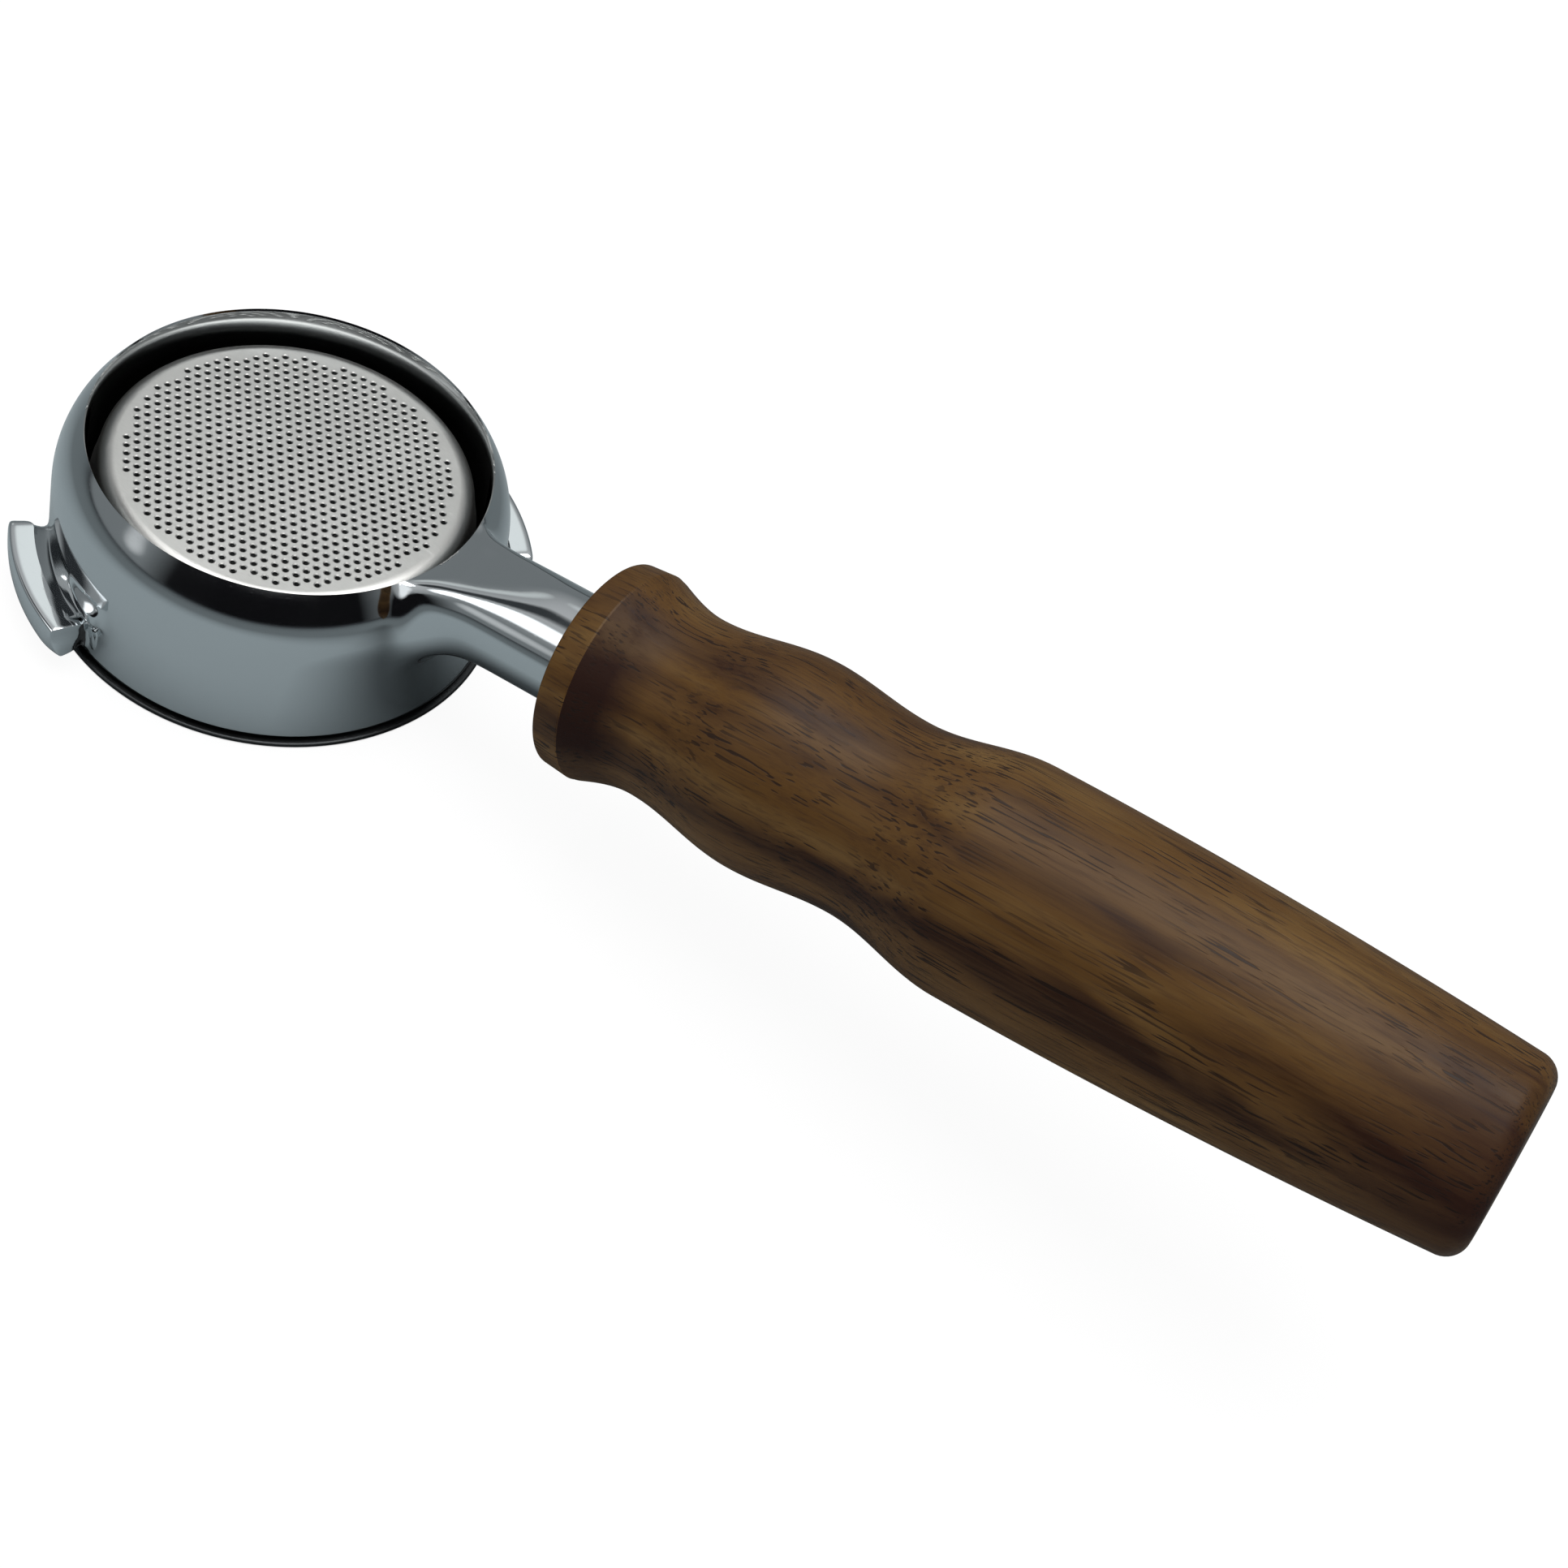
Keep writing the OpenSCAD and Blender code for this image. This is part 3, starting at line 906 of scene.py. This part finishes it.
figure = calc(tree, "ADD", calc(tree, "MULTIPLY", slow, 0.60), calc(tree, "MULTIPLY", streaks, 0.30))
figure = calc(tree, "ADD", figure, calc(tree, "MULTIPLY", rings.outputs["Fac"], 0.10))
figure = calc(tree, "ADD", figure, calc(tree, "MULTIPLY", calc(tree, "SUBTRACT", fibres, 0.5), 0.24))

# %% [markdown]
# Painted shade comes next. Round the handle's axis, 0 is up and -90 degrees is the side towards the
# viewer. A dark streak of painted shade runs along that side, and painted shade darkens the cove
# behind the collar and the very end of the grip.
# %% Walnut: painted shade and colours
SHADE_STREAK_TURN = -82
COVE_SHADE_TURN = -65
END_SHADE_TURN = -70
round_axis = calc(tree, "ARCTAN2", on_axis["Y"], on_axis["Z"])
round_axis = calc(tree, "ADD", round_axis, calc(tree, "MULTIPLY", calc(tree, "SUBTRACT", slow, 0.5), 0.9))


def bell(value, centre, inner, outer):
    """1 within inner of the centre, 0 beyond outer."""
    away = calc(tree, "ABSOLUTE", calc(tree, "SUBTRACT", value, centre), 0.0)
    return remap(tree, away, inner, outer, 1.0, 0.0)


def turned_to(centre_deg, inner_deg, outer_deg):
    return bell(round_axis, *(math.radians(angle) for angle in (centre_deg, inner_deg, outer_deg)))


# Painted shade: a dark streak along the side towards the viewer.
painted_shade_streak = turned_to(SHADE_STREAK_TURN, 4, 17)
past_collar = calc(tree, "GREATER_THAN", on_axis["X"], (GRIP_START + COLLAR_LEN) * MM)
# Painted shade in the cove behind the collar, on the viewer's side.
cove = bell(on_axis["X"], (GRIP_START + 6.5) * MM, 2.5 * MM, 8.5 * MM)
cove = calc(tree, "MULTIPLY", calc(tree, "MULTIPLY", past_collar, cove), turned_to(COVE_SHADE_TURN, 25, 70))
# Painted shade at the very end of the grip, on the viewer's side.
end = remap(tree, on_axis["X"], (GRIP_START + 120) * MM, (GRIP_START + GRIP_LEN) * MM)
end = calc(tree, "MULTIPLY", end, turned_to(END_SHADE_TURN, 25, 50))
figure = calc(tree, "SUBTRACT", figure, calc(tree, "MULTIPLY", painted_shade_streak, 0.14))
figure = calc(tree, "SUBTRACT", calc(tree, "ADD", figure, 0.03), calc(tree, "MULTIPLY", past_collar, 0.03))
heart = mix_colours(tree, remap(tree, figure, 0.30, 0.48), (0.018, 0.0055, 0.0012), (0.062, 0.0285, 0.0056))
ground = mix_colours(tree, remap(tree, figure, 0.50, 0.68), heart, (0.096, 0.052, 0.0142))
ground = mix_colours(tree, remap(tree, fibres, 0.47, 0.66, 0.0, 0.60), ground, (0.026, 0.0095, 0.0028))
ground = mix_colours(tree, calc(tree, "MULTIPLY", cove, 0.96), ground, (0.011, 0.0017, 0.0002))
ground = mix_colours(tree, calc(tree, "MULTIPLY", end, 0.85), ground, (0.017, 0.0030, 0.0004))
crowded = remap(tree, crowds, 0.36, 0.56)
pores = calc(tree, "MULTIPLY", remap(tree, vessels, 0.60, 0.64), crowded)
colour = mix_colours(tree, calc(tree, "MULTIPLY", pores, 0.85), ground, (0.008, 0.003, 0.0015))
tree.links.new(colour, shader.inputs["Base Color"])
# Roughness rises where the shade is painted in the cove and at the end.
rougher_in_shade = calc(tree, "MULTIPLY", calc(tree, "MAXIMUM", cove, end), 0.25)
rough = calc(tree, "ADD", remap(tree, fibres, 0.3, 0.7, 0.38, 0.50), rougher_in_shade)
tree.links.new(rough, shader.inputs["Roughness"])
height = calc(tree, "SUBTRACT", calc(tree, "MULTIPLY", fibres, 0.35), pores)
add_bump(tree, shader, height, 0.5, 0.00006)
dress(grip, walnut)

# %% [markdown]
# The small inner parts keep their CAD meshes, because a wire, a stud and a washer are exactly what
# the frame already has. They only need their own metals and rubber.
# %% Small metals and rubber
def small_metal(name, colour, base, haze, hairline):
    material, tree, shader, place = new_material(name, Metallic=1.0)
    hairs = add_wear(tree, shader, place, base, haze, hairline)
    patch = remap(tree, noise(tree, place, 260.0, 3.0), 0.35, 0.7)
    darker = tuple(channel * 0.8 for channel in colour)
    tree.links.new(mix_colours(tree, patch, colour, darker), shader.inputs["Base Color"])
    add_bump(tree, shader, hairs, 0.3, 0.00003)
    return material


spring_steel = small_metal("drawn_spring_steel", (0.52, 0.52, 0.51), 0.22, 0.10, 0.10)
zinc = small_metal("bright_zinc", (0.60, 0.61, 0.63), 0.26, 0.14, 0.05)
brass = small_metal("machined_brass", (0.74, 0.53, 0.24), 0.20, 0.12, 0.12)
rubber, tree, shader, place = new_material("moulded_rubber", Base_Color=(0.018, 0.018, 0.019, 1.0))
dust = noise(tree, place, 700.0, 3.0)
tree.links.new(remap(tree, dust, 0.3, 0.7, 0.55, 0.75), shader.inputs["Roughness"])
add_bump(tree, shader, dust, 0.3, 0.00003)
for name, material in (("retaining_spring", spring_steel), ("handle_stud", zinc), ("lock_washer", zinc),
                       ("threaded_insert", brass), ("seal_ring", rubber)):
    dress(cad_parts[name], material)

# %% [markdown]
# Chrome shows the room, not itself, so the studio is designed for its reflections. The floor is a
# white sweep to the eye, and glows by itself there so that only a faint shadow is left. Mirror rays
# see it as mid grey, with a painted shadow under the neck and a painted pool of light on the
# viewer's side of the ring, darker far away from it. Under the ring it doesn't glow, or the light
# would show through the basket's holes.
# %% Studio floor
bpy.ops.mesh.primitive_plane_add(size=6, location=(0, 0, -0.00002))
floor = bpy.context.object
floor.name = "studio_floor"
paper = bpy.data.materials.new("studio_paper")
paper.use_nodes = True
tree = paper.node_tree
shader = tree.nodes["Principled BSDF"]
set_inputs(shader, Roughness=0.9, Specular_IOR_Level=0.0)
UNDER_NECK = (0.044, -0.004, 0.0)
VIEWER_SIDE = (0.010, -0.045, 0.0)
GLOW = 0.93
path = add_node(tree, "ShaderNodeLightPath")
floor_place = add_node(tree, "ShaderNodeTexCoord").outputs["Object"]
# Painted shadow under the neck and a painted pool of light on the viewer's side, both seen only by mirror
# rays.
outside_neck_shadow = remap(tree, vector_calc(tree, "DISTANCE", floor_place, UNDER_NECK), 0.008, 0.031)
away = remap(tree, vector_calc(tree, "DISTANCE", floor_place, VIEWER_SIDE), 0.065, 0.140)
mirrored = mix_colours(tree, outside_neck_shadow, (0.085, 0.097, 0.102), (0.252, 0.287, 0.299))
mirrored = mix_colours(tree, away, mirrored, (0.125, 0.142, 0.148))
colour = mix_colours(tree, path.outputs["Is Glossy Ray"], (0.80, 0.805, 0.81), mirrored)
colour = mix_colours(tree, path.outputs["Is Camera Ray"], colour, (0.07, 0.07, 0.07))
tree.links.new(colour, shader.inputs["Base Color"])
set_inputs(shader, Emission_Color=(1.0, 1.0, 1.0, 1.0))
from_axis = vector_calc(tree, "LENGTH", floor_place)
outside = remap(tree, from_axis, RING_R * MM, (RING_R + 0.8) * MM)
glow = calc(tree, "MULTIPLY", calc(tree, "MULTIPLY", path.outputs["Is Camera Ray"], outside), GLOW)
tree.links.new(glow, shader.inputs["Emission Strength"])
dress(floor, paper)

# %% [markdown]
# The sky is grey low down and bright overhead. A black screen on the viewer's side draws the black
# edge that makes chrome look like chrome, and a few white and black cards make the streaks on the
# neck. Directions are given as a turn from the handle and a rise from the horizon, in degrees. Only
# mirror rays see all this: other rays see an even pale grey, and the camera sees plain white.
# %% Studio sky
world = bpy.data.worlds.new("studio_sky")
bpy.context.scene.world = world
world.use_nodes = True
tree = world.node_tree
background = tree.nodes["Background"]
direction = add_node(tree, "ShaderNodeTexCoord").outputs["Generated"]
sky_height = split(tree, direction)["Z"]


def towards(turn_deg, rise_deg):
    turn_rad, rise_rad = math.radians(turn_deg), math.radians(rise_deg)
    level_part = math.cos(rise_rad)
    return (level_part * math.cos(turn_rad), level_part * math.sin(turn_rad), math.sin(rise_rad))


def lobe(centre_turn, centre_rise, inner_deg, outer_deg):
    """A soft round patch of sky: 1 inside inner_deg of its centre and 0 outside outer_deg."""
    value = vector_calc(tree, "DOT_PRODUCT", direction, towards(centre_turn, centre_rise))
    return remap(tree, value, math.cos(math.radians(outer_deg)), math.cos(math.radians(inner_deg)))


def screen(centre_turn, half_width, soft, top, top_soft):
    """An upright screen on the horizon, round the centre turn, up to a height (a sine)."""
    flat = vector_calc(tree, "MULTIPLY", direction, (1.0, 1.0, 0.0))
    value = vector_calc(tree, "DOT_PRODUCT", vector_calc(tree, "NORMALIZE", flat), towards(centre_turn, 0))
    wide, narrow = math.cos(math.radians(half_width + soft)), math.cos(math.radians(half_width))
    below_top = remap(tree, sky_height, top, top + top_soft, 1.0, 0.0)
    return calc(tree, "MULTIPLY", remap(tree, value, wide, narrow), below_top)


layers = [
    (remap(tree, sky_height, 0.30, 0.85), (0.66, 0.67, 0.68)),
    (lobe(-54, 50, 18, 30), (1.3, 1.32, 1.34)),
    (lobe(-123, 12, 2, 7), (0.75, 0.77, 0.78)),
    (screen(-56, 44, 16, 0.42, 0.08), (0.006, 0.006, 0.007)),
    (lobe(-137, 35, 8, 13), (2.6, 2.65, 2.7)),
    (lobe(-173, 48, 7, 13), (0.05, 0.055, 0.06)),
    (lobe(148, 29, 1, 8), (0.78, 0.82, 0.82)),
    (lobe(126, 46, 6, 11), (1.15, 1.2, 1.2)),
    (remap(tree, sky_height, 0.0, 0.035, 1.0, 0.0), (0.05, 0.055, 0.06)),
]
sky = (0.24, 0.26, 0.27)
for mask, colour in layers:
    sky = mix_colours(tree, mask, sky, colour)
path = add_node(tree, "ShaderNodeLightPath")
even = mix_colours(tree, path.outputs["Is Glossy Ray"], (0.70, 0.71, 0.72), sky)
seen = mix_colours(tree, path.outputs["Is Camera Ray"], even, (1.0, 1.0, 1.0))
tree.links.new(seen, background.inputs["Color"])

# %% Soft light
def soft_light(name, place, aim, size, power):
    data = bpy.data.lights.new(name, "AREA")
    data.shape = "RECTANGLE"
    data.size, data.size_y = size
    data.energy = power
    light = bpy.data.objects.new(name, data)
    light.location = place
    light.rotation_euler = (Vector(aim) - Vector(place)).to_track_quat("-Z", "Y").to_euler()
    bpy.context.scene.collection.objects.link(light)
    return light


soft_light("overhead", (0.05, 0.10, 0.90), (0.06, 0.0, 0.0), (0.9, 0.7), 9.0)
bpy.context.scene.view_settings.view_transform = "Standard"
